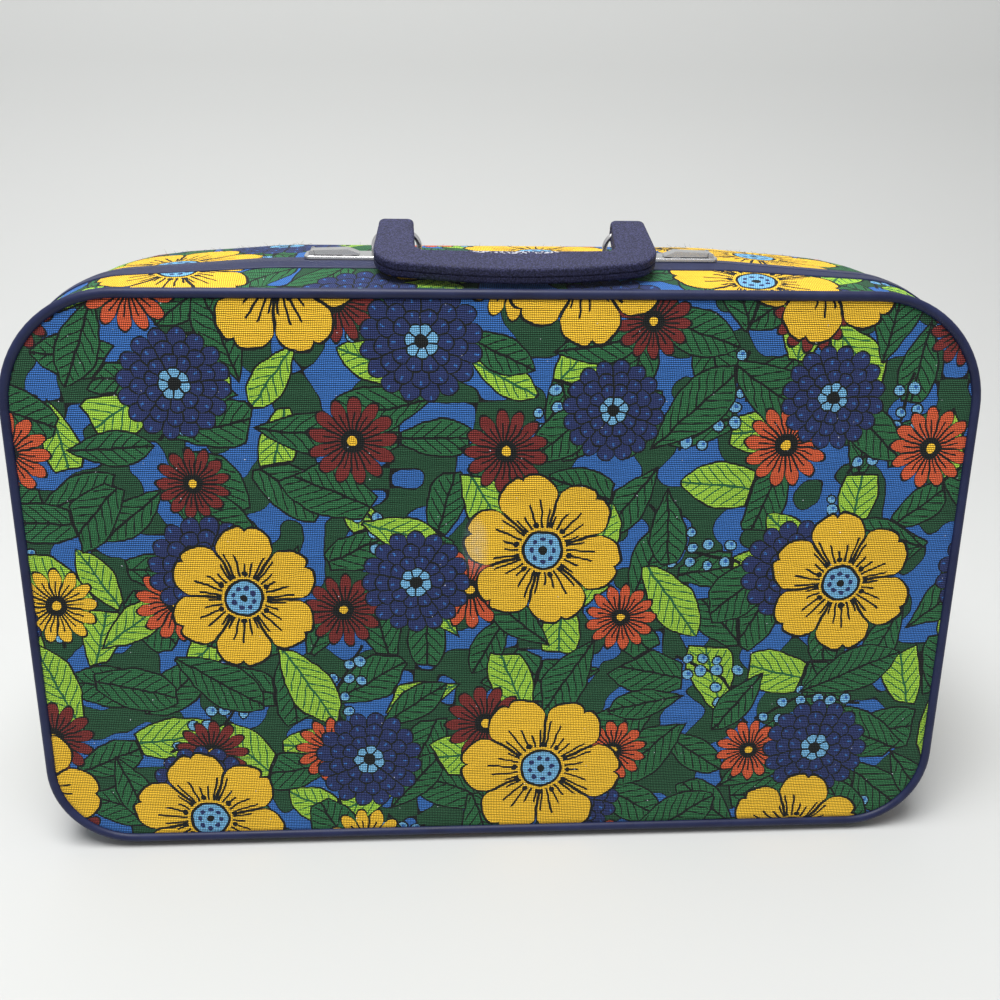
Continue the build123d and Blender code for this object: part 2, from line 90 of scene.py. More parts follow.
def linear(rgb):
    """sRGB bytes to the linear colour that shaders use."""
    values = []
    for channel in rgb:
        c = channel / 255
        values.append(c / 12.92 if c <= 0.04045 else ((c + 0.055) / 1.055) ** 2.4)
    return (*values, 1.0)


PRINT = {
    "ground": linear((48, 98, 165)),
    "navy": linear((38, 50, 95)),
    "yellow": linear((226, 180, 48)),
    "orange": linear((196, 84, 50)),
    "red": linear((112, 40, 38)),
    "sky": linear((108, 166, 204)),
    "lime": linear((148, 192, 62)),
    "green": linear((40, 98, 60)),
    "undergrowth": linear((31, 72, 48)),
    "ink": linear((16, 21, 22)),
    "lint": linear((206, 210, 220)),
    "rubbed": linear((168, 184, 196)),
}


# Outlines of the case
def oblong(half, height, drop, radii, grow, steps):
    """Upright oblong with rounded corners and falling shoulders, anticlockwise from the
    middle of its base, with even steps on each run so that two of them match."""
    fall = drop / (half - SHOULDER_X)
    wide, top, low = half + grow, height + grow, -grow
    side_top = top - fall * (wide - SHOULDER_X)
    corners = [
        ((wide, low), radii[1] + grow),
        ((wide, side_top), radii[0] + grow),
        ((SHOULDER_X, top), SHOULDER_RADIUS),
        ((-SHOULDER_X, top), SHOULDER_RADIUS),
        ((-wide, side_top), radii[0] + grow),
        ((-wide, low), radii[1] + grow),
    ]
    start = Vector((0.0, low))
    spots = [start] + [Vector(spot) for spot, _ in corners] + [start]
    points = []
    last = start
    for i, (_, radius) in enumerate(corners):
        here = spots[i + 1]
        back = (spots[i] - here).normalized()
        ahead = (spots[i + 2] - here).normalized()
        half_angle = back.angle(ahead) / 2
        reach = radius / math.tan(half_angle)
        centre = here + (back + ahead).normalized() * radius / math.sin(half_angle)
        first, final = here + back * reach, here + ahead * reach
        for k in range(steps):
            points.append(last.lerp(first, k / steps))
        out, end = first - centre, final - centre
        sweep = math.atan2(out.cross(end), out.dot(end))
        begin = math.atan2(out.y, out.x)
        for k in range(steps):
            a = begin + sweep * k / steps
            points.append(centre + Vector((math.cos(a), math.sin(a))) * radius)
        last = final
    for k in range(steps):
        points.append(last.lerp(start, k / steps))
    return points


def panel_point(half, x, along, out):
    """A point on a half's panel: across, up along its lean, and out of its face."""
    side = SIDE[half]
    y = SPLIT_Y + side * (
        LOW_DEPTH[half] - along * math.sin(PANEL_LEAN) + out * math.cos(PANEL_LEAN)
    )
    z = BASE_Z + along * math.cos(PANEL_LEAN) + out * math.sin(PANEL_LEAN)
    return (x, y, z)


def wall_sections(half, grow):
    """Wall outlines of one half from its rim to its panel, in mm."""
    side = SIDE[half]
    rim_half = PANEL_WIDTH / 2 + RIM_FLARE
    rim_rise = PANEL_RISE + RIM_LIFT
    panel_radii, panel_drop = PANEL_RADII[half], PANEL_DROP[half]
    shares = [(0.0, rim_half, rim_rise, RIM_DROP, RIM_RADII)]
    if half == "body":
        for share, swell in CROWN:
            radii = tuple(a + (b - a) * share for a, b in zip(RIM_RADII, panel_radii))
            drop = RIM_DROP + (panel_drop - RIM_DROP) * share + CROWN_DROP
            shares.append((share, rim_half + swell, rim_rise + swell, drop, radii))
    shares.append((1.0, PANEL_WIDTH / 2, PANEL_RISE, panel_drop, panel_radii))
    sections = []
    for share, wide, rise, drop, radii in shares:
        lean = PANEL_LEAN * share
        outline = oblong(wide, rise / math.cos(lean), drop, radii, grow, WALL_STEPS)
        section = []
        for x, along in outline:
            y = SPLIT_Y + side * (LOW_DEPTH[half] * share - along * math.sin(lean))
            section.append(Vector((x, y, BASE_Z + along * math.cos(lean))))
        sections.append(section)
    return [entry[0] for entry in shares], sections


def between(shares, points, share):
    """Point at a share of the way through a row of section points."""
    i = 0
    while i < len(shares) - 2 and share > shares[i + 1]:
        i += 1
    t = (share - shares[i]) / (shares[i + 1] - shares[i])
    return points[i].lerp(points[i + 1], t)


# Cloth
def sheet_piece(name, points, faces, flat, body, replaced):
    """A sheet of cloth from its points, with its flat lie kept for the weave and print."""
    mesh = bpy.data.meshes.new(name)
    mesh.from_pydata([tuple(c * MM for c in p) for p in points], [], faces)
    lie = mesh.attributes.new("weave", "FLOAT_VECTOR", "POINT")
    lie.data.foreach_set("vector", [c for x, y in flat for c in (x * MM, y * MM, 0.0)])
    mesh.polygons.foreach_set("use_smooth", [True] * len(mesh.polygons))
    mesh.update()
    piece = bpy.data.objects.new(name, mesh)
    bpy.context.scene.collection.objects.link(piece)
    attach(piece, body)
    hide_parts(replaced)
    return piece


def ripple(x, along):
    """Slow, slight unevenness of glued cloth, from -2 to 2."""
    return math.sin(x / 37 + 0.6) * math.sin(along / 29) + math.sin(x / 83 - along / 61)


def panel_cloth(half, start):
    """Printed cloth of one panel, its edge tucked down beside the piping."""
    middle = PANEL_HEIGHT / 2
    facing = -SIDE[half]
    rings = []
    for inset in PANEL_INSETS:
        outline = oblong(
            PANEL_WIDTH / 2,
            PANEL_HEIGHT,
            PANEL_DROP[half],
            PANEL_RADII[half],
            -(EDGE_IN + inset),
            PANEL_STEPS,
        )
        rings.append((inset, outline))
    innermost = rings[-1][1]
    for i in range(1, PANEL_RINGS):
        share = 1 - i / PANEL_RINGS
        shrunk = [(x * share, middle + (y - middle) * share) for x, y in innermost]
        rings.append((FLAT_INSET, shrunk))
    points, flat = [], []

    def put(x, along, inset):
        roll = min(1.0, inset / ROLL)
        rise = EDGE_SHARE + (1 - EDGE_SHARE) * roll * (2 - roll)
        out = PANEL_CLOTH * rise + CLOTH_WAVE * ripple(x, along) * roll
        points.append(panel_point(half, x * facing, along, max(out, CLOTH_LEAST)))
        flat.append((start + x, along))

    for inset, ring in rings:
        for x, along in ring:
            put(x, along, inset)
    put(0.0, middle, FLAT_INSET)
    count = len(innermost)
    faces = []
    for k in range(len(rings) - 1):
        for i in range(count):
            j = (i + 1) % count
            faces.append((k * count + i, k * count + j, (k + 1) * count + j, (k + 1) * count + i))
    last = (len(rings) - 1) * count
    for i in range(count):
        faces.append((last + i, last + (i + 1) % count, len(points) - 1))
    name = half + "_panel_print"
    return sheet_piece(name, points, faces, flat, half, half + "_panel_cloth")


def wall_cloth(half, start):
    """Printed cloth round one half's walls, from the rim binding to the piping."""
    shares, sections = wall_sections(half, CLOTH_OUT)
    count = len(sections[0])
    points, flat = [], []
    travel = 0.0
    for i in range(count + 1):
        column = [section[i % count] for section in sections]
        if i:
            before = [section[i - 1] for section in sections]
            travel += ((column[0] - before[0]).length + (column[-1] - before[-1]).length) / 2
        depth = (column[-1] - column[0]).length
        for row in range(WALL_ROWS + 1):
            reach = WALL_NEAR + (depth - WALL_FAR - WALL_NEAR) * row / WALL_ROWS
            if i < count:
                points.append(tuple(between(shares, column, reach / depth)))
            else:
                points.append(points[row])
            flat.append((start + travel, reach))
    rows = WALL_ROWS + 1
    faces = []
    for i in range(count):
        for row in range(WALL_ROWS):
            k = i * rows + row
            faces.append((k, k + rows, k + rows + 1, k + 1))
    if half == "body":
        faces = [tuple(reversed(face)) for face in faces]
    name = half + "_wall_print"
    return sheet_piece(name, points, faces, flat, half, half + "_wall_cloth")


# Shader tools
MIX_FACTOR, MIX_FIRST, MIX_SECOND, MIX_RESULT = 0, 6, 7, 2  # sockets of a Mix node for colours


def material(name, colour, roughness, metallic=0.0):
    """A principled material and its node tree."""
    made = bpy.data.materials.new(name)
    made.use_nodes = True
    tree = made.node_tree
    shader = tree.nodes["Principled BSDF"]
    shader.inputs["Base Color"].default_value = colour
    shader.inputs["Roughness"].default_value = roughness
    shader.inputs["Metallic"].default_value = metallic
    return made, tree, shader


def node(tree, kind, **settings):
    """A new node with its properties and inputs set by name."""
    made = tree.nodes.new(kind)
    for key, value in settings.items():
        if hasattr(made, key) and not key[0].isupper():
            setattr(made, key, value)
        else:
            made.inputs[key].default_value = value
    return made


class Term:
    """A shader value that can be added, multiplied and compared like a number. Masks are
    values of 0 or 1."""

    def __init__(self, tree, socket):
        self.tree = tree
        self.socket = socket

    def do(self, operation, *others):
        made = self.tree.nodes.new("ShaderNodeMath")
        made.operation = operation
        for slot, value in zip(made.inputs, (self, *others)):
            if isinstance(value, Term):
                self.tree.links.new(value.socket, slot)
            else:
                slot.default_value = value
        return Term(self.tree, made.outputs[0])

    def __add__(self, other):
        return self.do("ADD", other)

    def __sub__(self, other):
        return self.do("SUBTRACT", other)

    def __mul__(self, other):
        return self.do("MULTIPLY", other)

    def __truediv__(self, other):
        return self.do("DIVIDE", other)

    def __pow__(self, other):
        return self.do("POWER", other)

    def __lt__(self, other):
        return self.do("LESS_THAN", other)

    def __gt__(self, other):
        return self.do("GREATER_THAN", other)

    def __and__(self, other):
        return self.do("MULTIPLY", other)

    def __or__(self, other):
        return self.do("MAXIMUM", other)

    def __invert__(self):
        return (self * -1.0) + 1.0

    def __abs__(self):
        return self.do("ABSOLUTE")

    def sine(self):
        return self.do("SINE")

    def cosine(self):
        return self.do("COSINE")

    def part(self):
        return self.do("FRACT")

    def fade(self):
        """Falls from 1 at nought to 0 at one, and stays there."""
        return (~self).do("MAXIMUM", 0.0)


def mixed(tree, factor, first, second):
    """A colour mix fed by values, sockets or colours."""
    made = tree.nodes.new("ShaderNodeMix")
    made.data_type = "RGBA"
    fed = ((MIX_FACTOR, factor), (MIX_FIRST, first), (MIX_SECOND, second))
    for index, value in fed:
        slot = made.inputs[index]
        if isinstance(value, Term):
            value = value.socket
        if hasattr(value, "is_linked"):
            tree.links.new(value, slot)
        else:
            slot.default_value = value
    return made.outputs[MIX_RESULT]


def on_piece(tree, *textures):
    """Lays textures out in the piece's own coordinates, whose socket it returns."""
    place = node(tree, "ShaderNodeTexCoord").outputs["Object"]
    for texture in textures:
        tree.links.new(place, texture.inputs["Vector"])
    return place


def bumpy(tree, shader, height, strength, distance):
    """Bumps from a height socket."""
    bump = node(tree, "ShaderNodeBump", Strength=strength, Distance=distance)
    tree.links.new(height, bump.inputs["Height"])
    tree.links.new(bump.outputs[0], shader.inputs["Normal"])


def uneven_gloss(tree, shader, source, least, most):
    """Roughness that follows a socket between two values."""
    gloss = node(tree, "ShaderNodeMapRange", **{"To Min": least, "To Max": most})
    tree.links.new(source, gloss.inputs["Value"])
    tree.links.new(gloss.outputs[0], shader.inputs["Roughness"])


# The print
SHIFT_RISE = 0.7  # a layer shifted along the cloth goes up by this share
LEAF_LOOSENESS = 0.62


def distance(x, y):
    return (x * x + y * y).do("SQRT")


def polar(x, y):
    """Distance from a flower's middle, and the angle round it."""
    return distance(x, y), y.do("ARCTAN2", x)


def petals(turn, count, radius, bay, sharp):
    """Petal outline of a flower: how far across a petal, from its seam and from its
    middle, and the edge's distance there."""
    swing = turn * (count / 2)
    lobe = abs(swing.cosine())
    edge = radius * ((lobe**sharp) * bay + (1 - bay))
    return lobe, abs(swing.sine()), edge


def near(across, away, count, half):
    """Mask of a line along each petal, where the way across it is nought."""
    return across * away * (2 / count) < half


def from_ray(turn, away, count):
    """Distance to the nearest of twice that many even rays."""
    return abs((turn * count).sine()) * away / count


class Flowers:
    """A dense flower print drawn by formulas, in millimetres, each layer over the last. A
    layer's centres are scattered by its spacing and looseness, and its shift moves it. Its
    flowers have a least radius and up to a spread more."""

    def __init__(self, tree, x, y):
        self.tree = tree
        self.x = x
        self.y = y
        self.colour = PRINT["ground"]

    def paint(self, mask, ink):
        value = PRINT[ink] if isinstance(ink, str) else ink
        self.colour = mixed(self.tree, mask, self.colour, value)

    def shifted(self, shift):
        return self.x + shift, self.y + shift * SHIFT_RISE

    def texture(self, kind, x, y, **settings):
        """A flat texture at a place on the cloth."""
        joined = node(self.tree, "ShaderNodeCombineXYZ")
        self.tree.links.new(x.socket, joined.inputs[0])
        self.tree.links.new(y.socket, joined.inputs[1])
        made = node(self.tree, kind, **settings)
        self.tree.links.new(joined.outputs[0], made.inputs["Vector"])
        return made

    def cloud(self, scale, detail):
        made = self.texture("ShaderNodeTexNoise", self.x, self.y, Scale=scale, Detail=detail)
        return Term(self.tree, made.outputs["Fac"])

    def centres(self, spacing, looseness, place, feature="F1"):
        return self.texture(
            "ShaderNodeTexVoronoi",
            *place,
            voronoi_dimensions="2D",
            feature=feature,
            Scale=1 / spacing,
            Randomness=looseness,
        )

    def scatter(self, spacing, looseness, place):
        """Nearest of the scattered centres: its place, and three random numbers of its own."""
        spots = self.centres(spacing, looseness, place)
        centre = node(self.tree, "ShaderNodeSeparateXYZ")
        self.tree.links.new(spots.outputs["Position"], centre.inputs[0])
        chance = node(self.tree, "ShaderNodeSeparateColor")
        self.tree.links.new(spots.outputs["Color"], chance.inputs[0])
        middle = [Term(self.tree, out) for out in centre.outputs[:2]]
        return middle, [Term(self.tree, out) for out in chance.outputs[:3]]

    def cells(self, spacing, looseness, place):
        """Place from the nearest of the scattered centres, turned at random, and the three
        random numbers of that centre."""
        middle, chances = self.scatter(spacing, looseness, place)
        dx, dy = place[0] - middle[0], place[1] - middle[1]
        spin = chances[0] * (2 * math.pi)
        sine, cosine = spin.sine(), spin.cosine()
        return dx * cosine + dy * sine, dy * cosine - dx * sine, chances

    def border(self, spacing, looseness, place):
        """Distance to the halfway line between two of the scattered centres."""
        spots = self.centres(spacing, looseness, place, "DISTANCE_TO_EDGE")
        return Term(self.tree, spots.outputs["Distance"]) * spacing

    def undergrowth(self):
        """Dark green between the leaves, edged with ink."""
        line_from, fill_from = 0.485, 0.5
        share = self.cloud(scale=0.05, detail=0.0)
        self.paint(share > line_from, "ink")
        self.paint(share > fill_from, "undergrowth")

    def leaves(self, shift, spacing, length):
        """Pointed leaves with ribs, about a third of them lime."""
        line, rib_half, rib_step, rib_margin = 0.95, 0.55, 5.2, 1.7
        rib_share, rib_slant, tip, lime_from = 0.17, 1.1, 0.96, 0.68
        least, spread, broad, skew = 0.75, 0.5, 0.42, 0.4  # shares of the leaf's length
        place = self.shifted(shift)
        x, y, (_, b, c) = self.cells(spacing, LEAF_LOOSENESS, place)
        reach = b * (length * spread) + length * least
        t = x / reach
        half = ~(t * t) * (t * -skew + 1.0) * reach * broad
        off = abs(y)
        inside = (half - off).do("MINIMUM", self.border(spacing, LEAF_LOOSENESS, place))
        side_rib = (((x + off * rib_slant) / rib_step).part() < rib_share) & (inside > rib_margin)
        rib = (off < rib_half) | side_rib
        lime = c > lime_from
        self.paint((inside > 0.0) & (abs(t) < 1.0), "ink")
        fill = (inside > line) & (abs(t) < tip)
        self.paint(fill, mixed(self.tree, lime, PRINT["green"], PRINT["lime"]))
        self.paint(fill & rib, mixed(self.tree, lime, PRINT["ink"], PRINT["green"]))

    def berries(self, shift, spacing, looseness):
        """Sprays of round berries about bent stems. A berry is drawn whole or left out, by
        where its own middle lies."""
        berry_spacing, berry_looseness, least, spread, line = 8.2, 0.45, 2.6, 0.8, 0.75
        stem_half, stem_reach, spray_long, spray_wide = 0.8, 27.0, 25.0, 10.0
        bend_pitch, bend_height = 0.11, 4.0
        glint_off, glint_size = 0.6, 0.8

        def spray(place):
            """How far along a stem and off it a place lies."""
            along, off, _ = self.cells(spacing, looseness, place)
            return along, off - (along * bend_pitch).cosine() * bend_height

        place = self.shifted(shift)
        along, off = spray(place)
        self.paint((abs(off) < stem_half) & (abs(along) < stem_reach), "ink")
        middle, (_, b, _) = self.scatter(berry_spacing, berry_looseness, place)
        along, off = spray(middle)
        patch = (along * along / spray_long**2 + off * off / spray_wide**2) < 1.0
        x, y = place[0] - middle[0], place[1] - middle[1]
        size = b * spread + least
        away = distance(x, y)
        self.paint((away < size) & patch, "ink")
        self.paint((away < size - line) & patch, "sky")
        glint = ((x - glint_off) ** 2.0 + (y - glint_off) ** 2.0) < glint_size
        self.paint(glint & patch, "ground")

    def daisies(self, shift, spacing, looseness, radius, spread):
        """Many-petalled flowers in orange, red or yellow, a few of them left out."""
        count, line, seam_half, vein_half = 13, 1.1, 0.5, 0.38
        seam_from, vein_to, heart, eye = 0.24, 0.66, 0.26, 0.11  # shares of the radius
        left_out, red_from, yellow_from = 0.12, 0.5, 0.88
        x, y, (a, b, c) = self.cells(spacing, looseness, self.shifted(shift))
        radius = b * spread + radius
        away, turn = polar(x, y)
        lobe, across, edge = petals(turn, count, radius, bay=0.42, sharp=0.55)
        here = c > left_out
        seam = near(lobe, away, count, seam_half) & (away > radius * seam_from)
        vein = near(across, away, count, vein_half) & (away < radius * vein_to)
        shade = mixed(self.tree, a > red_from, PRINT["orange"], PRINT["red"])
        shade = mixed(self.tree, a > yellow_from, shade, PRINT["yellow"])
        self.paint((away < edge) & here, "ink")
        veined = mixed(self.tree, seam | vein, shade, PRINT["ink"])
        self.paint((away < edge - line) & here, veined)
        self.paint((away < radius * heart) & here, "ink")
        self.paint((away < radius * eye) & here, "yellow")

    def medallions(self, shift, spacing, looseness, radius, spread):
        """Round flowers of ringed petals, a few of them left out."""
        line, seam_half, glint_half, glint_line = 0.8, 0.4, 0.45, 1.6
        glint_share, eye = 0.13, 0.12  # shares of the radius
        left_out = 0.1
        rings = ((1.0, 16, "navy"), (0.76, 13, "navy"), (0.53, 10, "navy"), (0.3, 7, "sky"))
        x, y, (_, b, c) = self.cells(spacing, looseness, self.shifted(shift))
        radius = b * spread + radius
        here = c > left_out
        away, turn = polar(x, y)
        for share, count, tint in rings:
            lobe, across, edge = petals(turn, count, radius * share, bay=0.16, sharp=0.6)
            seam = near(lobe, away, count, seam_half)
            self.paint((away < edge) & here, "ink")
            self.paint((away < edge - line) & here & ~seam, tint)
            if tint == "navy":
                glint = near(across, away, count, glint_half)
                glint = glint & (away > radius * (share - glint_share))
                self.paint((away < edge - glint_line) & here & glint, "ground")
        self.paint((away < radius * eye) & here, "ink")

    def rosettes(self, shift, spacing, looseness, radius, spread):
        """Large six-petalled flowers with a pale blue middle and dots round it."""
        count, line, seam_half, vein_half, veins = 6, 1.4, 0.75, 0.5, 15.0
        notch_half, notch_deep = 0.3, 0.07
        heart_line, ring_size, dot_size = 0.7, 1.9, 1.3
        ring_rays, dot_rays = 6.0, 4.0
        vein_reach, vein_vary, vein_waves, vein_turn = 0.56, 0.1, 7.0, 9.0
        # shares of the radius
        seam_from, ring, collar, heart, dots, eye = 0.3, 0.33, 0.29, 0.24, 0.14, 0.05
        x, y, (_, b, _) = self.cells(spacing, looseness, self.shifted(shift))
        radius = b * spread + radius
        away, turn = polar(x, y)
        lobe, across, edge = petals(turn, count, radius, bay=0.36, sharp=0.42)
        dip = (across / notch_half).fade()
        edge = edge - dip * dip * radius * notch_deep
        seam = near(lobe, away, count, seam_half) & (away > radius * seam_from)
        tips = (turn * vein_waves + b * vein_turn).sine() * vein_vary + vein_reach
        vein = (from_ray(turn, away, veins) < vein_half) & (away < radius * tips)
        self.paint(away < edge, "ink")
        self.paint((away < edge - line) & ~(seam | vein), "yellow")
        self.paint(away < radius * collar, "yellow")
        spots = (away - radius * ring) ** 2.0 + from_ray(turn, away, ring_rays) ** 2.0
        self.paint(spots < ring_size, "ink")
        self.paint(away < radius * heart + heart_line, "ink")
        self.paint(away < radius * heart - heart_line, "sky")
        spots = (away - radius * dots) ** 2.0 + from_ray(turn, away, dot_rays) ** 2.0
        self.paint(spots < dot_size, "navy")
        self.paint(away < radius * eye, "ink")

    def lint(self, shift, spacing):
        """Sparse pale specks caught in the weave."""
        looseness, narrow, size, left_out, strength = 1.0, 3.0, 0.1, 0.6, 0.7
        x, y, (_, _, c) = self.cells(spacing, looseness, self.shifted(shift))
        speck = ((x * x) + (y * y) * narrow) < size
        self.paint((speck & (c > left_out)) * strength, "lint")

    def rubbed(self, x, y, half_wide, half_tall, strength):
        """A pale rubbed place."""
        away = ((self.x - x) / half_wide) ** 2.0 + ((self.y - y) / half_tall) ** 2.0
        self.paint(away.fade() * self.cloud(scale=0.35, detail=2.0) * strength, "rubbed")


# Weave of the canvas, in metres
THREAD_ACROSS = 0.00080
THREAD_UP = 0.00094
THREAD_SWAY = 0.0006
SLUB_SIZE = (0.02, 0.0009, 1.0)  # long, thin unevenness of the yarn
PRINT_DRIFT = 0.0022  # how far the print strays on the threads

# Brightness of the canvas: what yarn and patches add or take, with painted light along the
# threads and painted shade in the gaps between them
YARN_TONE, PATCH_TONE, THREAD_PAINTED_LIGHT, GAP_PAINTED_SHADE = 0.46, 0.24, 2.2, 0.06
TONE_LESS = 0.2
DARKEST = 0.02
ROUND_ACROSS, ROUND_UP = 0.9, 1.7  # how sharply the painted light falls off across each round thread
GAP_ACROSS, GAP_UP = 0.8, 1.4
BUMP_ACROSS, BUMP_UP = 0.35, 0.65
# Pale fluff on the thread tops, partly a painted highlight where light catches their crowns
FLUFF_HIGHLIGHT_SHARP, FLUFF_HIGHLIGHT_SHARE = 3.0, 0.065
PALE_FLUFF_AND_HIGHLIGHT = linear((224, 222, 212))


def printed_canvas():
    """Coarse printed cotton: flower print, thread bumps, painted light along the threads, painted
    shade in the gaps, pale fluff with a painted highlight on the thread tops, and uneven ink.
    """
    made, tree, shader = material("printed_canvas", (0.2, 0.2, 0.3, 1), 0.9)
    links = tree.links
    lie = node(tree, "ShaderNodeAttribute", attribute_name="weave").outputs["Vector"]

    def apart(socket):
        split = node(tree, "ShaderNodeSeparateXYZ")
        links.new(socket, split.inputs[0])
        return [Term(tree, out) for out in split.outputs[:2]]

    def noise(socket, output, **settings):
        texture = node(tree, "ShaderNodeTexNoise", **settings)
        links.new(socket, texture.inputs["Vector"])
        return texture.outputs[output]

    # Print
    moved = node(tree, "ShaderNodeVectorMath", operation="MULTIPLY_ADD")
    links.new(noise(lie, "Color", Scale=130.0, Detail=1.0), moved.inputs[0])
    moved.inputs[1].default_value = (PRINT_DRIFT, PRINT_DRIFT, 0.0)
    links.new(lie, moved.inputs[2])
    x, y = apart(moved.outputs[0])
    flowers = Flowers(tree, x * (1 / MM), y * (1 / MM))
    flowers.undergrowth()
    flowers.leaves(shift=311.0, spacing=32.0, length=24.0)
    flowers.berries(shift=150.0, spacing=78.0, looseness=0.5)
    flowers.leaves(shift=87.0, spacing=43.0, length=25.0)
    flowers.daisies(shift=40.0, spacing=70.0, looseness=0.4, radius=17.0, spread=5.0)
    flowers.medallions(shift=260.0, spacing=98.0, looseness=0.42, radius=23.0, spread=5.0)
    flowers.rosettes(shift=20.0, spacing=136.0, looseness=0.38, radius=35.0, spread=6.0)
    flowers.lint(shift=70.0, spacing=17.0)
    flowers.rubbed(x=389.0, y=152.0, half_wide=7.0, half_tall=15.0, strength=0.45)

    # Threads: 0 in the gaps between them, 1 along their middles
    sway = Term(tree, noise(lie, "Fac", Scale=260.0, Detail=1.0)) * THREAD_SWAY
    x, y = (term + sway for term in apart(lie))
    across = abs((x * (math.pi / THREAD_ACROSS)).sine())
    upward = abs((y * (math.pi / THREAD_UP)).sine())
    # mask of the gaps between threads, where painted shade goes
    gap = ~(across**GAP_ACROSS) * ~(upward**GAP_UP)
    stretch = node(tree, "ShaderNodeMapping", vector_type="TEXTURE", Scale=SLUB_SIZE)
    links.new(lie, stretch.inputs["Vector"])
    yarn = Term(tree, noise(stretch.outputs[0], "Fac", Scale=1.0, Detail=1.0))
    patchy = Term(tree, noise(lie, "Fac", Scale=24.0, Detail=2.0))

    # The print's brightness follows yarn and patches, with painted light along the threads and
    # painted shade in the gaps, and pale fluff with a painted highlight stands on the thread tops
    tone_and_painted_light = yarn * YARN_TONE + patchy * PATCH_TONE - TONE_LESS
    # painted light along the threads' middles, painted shade in the gaps between them
    tone_and_painted_light = tone_and_painted_light + (across**ROUND_ACROSS) * (upward**ROUND_UP) * THREAD_PAINTED_LIGHT - gap * GAP_PAINTED_SHADE
    tone_and_painted_light = tone_and_painted_light.do("MAXIMUM", DARKEST)
    scaled = node(tree, "ShaderNodeVectorMath", operation="SCALE")
    links.new(flowers.colour, scaled.inputs[0])
    links.new(tone_and_painted_light.socket, scaled.inputs["Scale"])
    # pale fluff, partly a painted highlight, on the thread tops
    fluff_and_highlight = ((across * upward) ** FLUFF_HIGHLIGHT_SHARP) * yarn * FLUFF_HIGHLIGHT_SHARE
    links.new(mixed(tree, fluff_and_highlight, scaled.outputs[0], PALE_FLUFF_AND_HIGHLIGHT), shader.inputs["Base Color"])
    height = across * BUMP_ACROSS + upward * BUMP_UP
    bumpy(tree, shader, height.socket, strength=0.6, distance=0.0003)
    shader.inputs["Sheen Weight"].default_value = 0.06
    shader.inputs["Specular IOR Level"].default_value = 0.2
    return made


# Grain of the handle, and white scuffs on its back edge, in metres
FOLD_GRAIN, CELL_GRAIN, CLOUD_GRAIN, GRAIN_GAIN, GRAIN_LESS = 1.1, -0.5, 0.3, 2.6, 0.75
SCUFF_X, SCUFF_HALF = 0.006, 0.024
SCUFF_Y, SCUFF_REACH = -0.0364, 0.0028
SCUFF_Z = 0.283
SCUFF_SPECKS, SCUFF_EDGE, SCUFF_STRENGTH = 0.52, 0.14, 0.75
SCUFF_WHITE = linear((196, 196, 205))


def vinyl(name, colour, worn, grain):
    """Satin vinyl with a fine leather grain and uneven gloss."""
    made, tree, shader = material(name, colour, 0.45)
    shader.inputs["Specular IOR Level"].default_value = 0.28
    cells = node(tree, "ShaderNodeTexVoronoi", Scale=grain, feature="DISTANCE_TO_EDGE")
    cloud = node(tree, "ShaderNodeTexNoise", Scale=60.0, Detail=5.0, Roughness=0.65)
    on_piece(tree, cells, cloud)
    ramp = node(tree, "ShaderNodeMapRange", **{"From Min": 0.35, "From Max": 0.75})
    tree.links.new(cloud.outputs["Fac"], ramp.inputs["Value"])
    tree.links.new(mixed(tree, ramp.outputs[0], colour, worn), shader.inputs["Base Color"])
    uneven_gloss(tree, shader, cloud.outputs["Fac"], least=0.36, most=0.58)
    depth = Term(tree, cells.outputs["Distance"]).do("MINIMUM", 0.25)
    bumpy(tree, shader, depth.socket, strength=0.25, distance=0.0002)
    return made


def grained_vinyl(name, colour, raised):
    """Leather-grained vinyl: pale grain tops over dark folds, scuffed along its back edge."""
    made, tree, shader = material(name, colour, 0.6)
    shader.inputs["Specular IOR Level"].default_value = 0.3
    cells = node(tree, "ShaderNodeTexVoronoi", Scale=1400.0, feature="SMOOTH_F1")
    folds = node(tree, "ShaderNodeTexNoise", Scale=1900.0, Detail=2.0, Roughness=0.7)
    cloud = node(tree, "ShaderNodeTexNoise", Scale=45.0, Detail=4.0)
    rub = node(tree, "ShaderNodeTexNoise", Scale=800.0, Detail=1.0)
    place = on_piece(tree, cells, folds, cloud, rub)
    grain = Term(tree, folds.outputs["Fac"]) * FOLD_GRAIN
    grain = grain + Term(tree, cells.outputs["Distance"]) * CELL_GRAIN
    grain = grain * GRAIN_GAIN + Term(tree, cloud.outputs["Fac"]) * CLOUD_GRAIN - GRAIN_LESS
    shown = grain.do("MAXIMUM", 0.0).do("MINIMUM", 1.0)
    tint = mixed(tree, shown, colour, raised)
    spot = node(tree, "ShaderNodeSeparateXYZ")
    tree.links.new(place, spot.inputs[0])
    x, y, z = (Term(tree, out) for out in spot.outputs)
    along = (abs(x - SCUFF_X) / SCUFF_HALF).fade()
    behind = (abs(y - SCUFF_Y) / SCUFF_REACH).fade()
    specks = Term(tree, rub.outputs["Fac"]) > SCUFF_SPECKS
    scuff = specks & (along * behind > SCUFF_EDGE) & (z > SCUFF_Z)
    tint = mixed(tree, scuff * SCUFF_STRENGTH, tint, SCUFF_WHITE)
    tree.links.new(tint, shader.inputs["Base Color"])
    bumpy(tree, shader, shown.socket, strength=0.55, distance=0.0003)
    return made


def plated():
    """Bright plating, a little dulled in patches."""
    made, tree, shader = material("bright_plating", (0.62, 0.62, 0.63, 1), 0.2, metallic=1.0)
    cloud = node(tree, "ShaderNodeTexNoise", Scale=90.0, Detail=3.0)
    on_piece(tree, cloud)
    uneven_gloss(tree, shader, cloud.outputs["Fac"], least=0.2, most=0.29)
    return made


